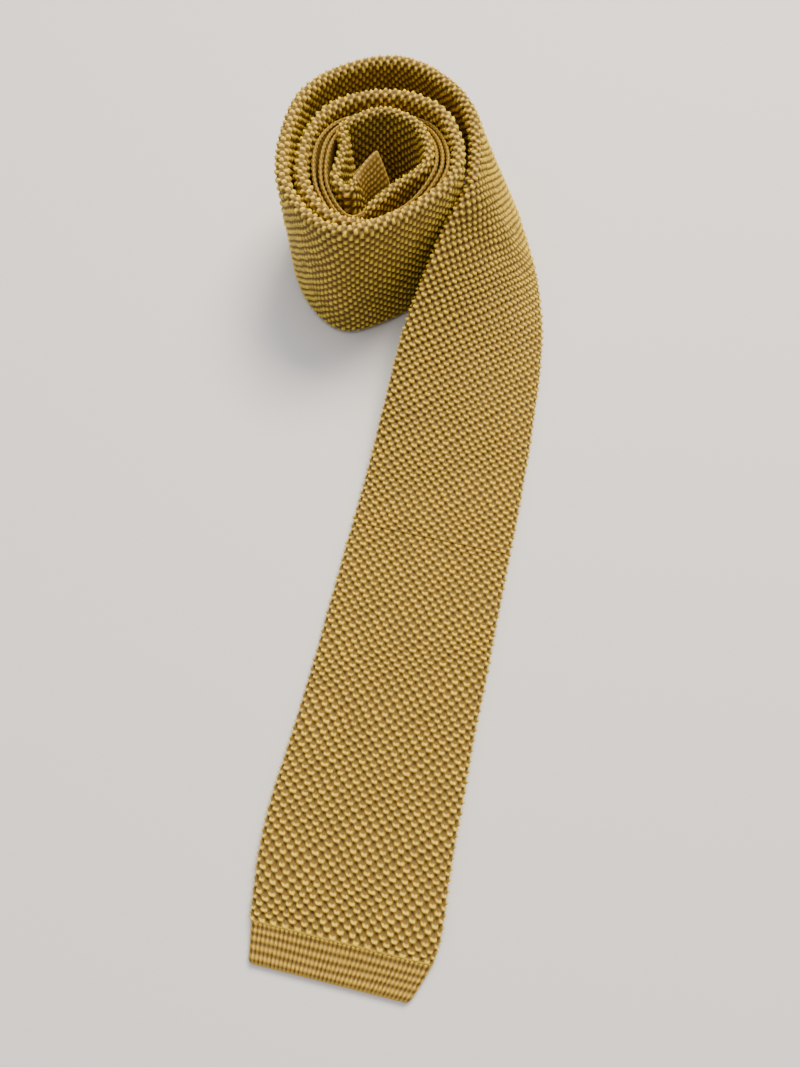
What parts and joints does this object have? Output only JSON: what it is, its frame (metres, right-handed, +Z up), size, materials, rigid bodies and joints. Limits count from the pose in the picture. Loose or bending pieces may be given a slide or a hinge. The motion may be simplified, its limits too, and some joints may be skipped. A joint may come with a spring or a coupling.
{
  "type": "knit necktie",
  "caption": "Knitted necktie with a square-ended wide blade lying flat and the rest of its length rolled up on edge.",
  "frame": {"origin": "on the table, under the middle of the whole tie as it lies", "axes": "+Z up from the table, +Y from the wide end towards the roll, +X to the right as seen from the wide end"},
  "size_m": [0.0926, 0.3016, 0.0503],
  "materials": {
    "blade_yarn": "dull knitted yarn, mustard gold, with raised stitches in staggered rows",
    "fine_yarn": "dull knitted yarn, mustard gold, in a finer and flatter rib"
  },
  "bodies": {
    "root": {"wide_end_band": "fine_yarn", "wide_blade": "blade_yarn", "neck_section": "fine_yarn", "narrow_blade": "blade_yarn", "narrow_end_band": "fine_yarn"}
  },
  "joints": []
}
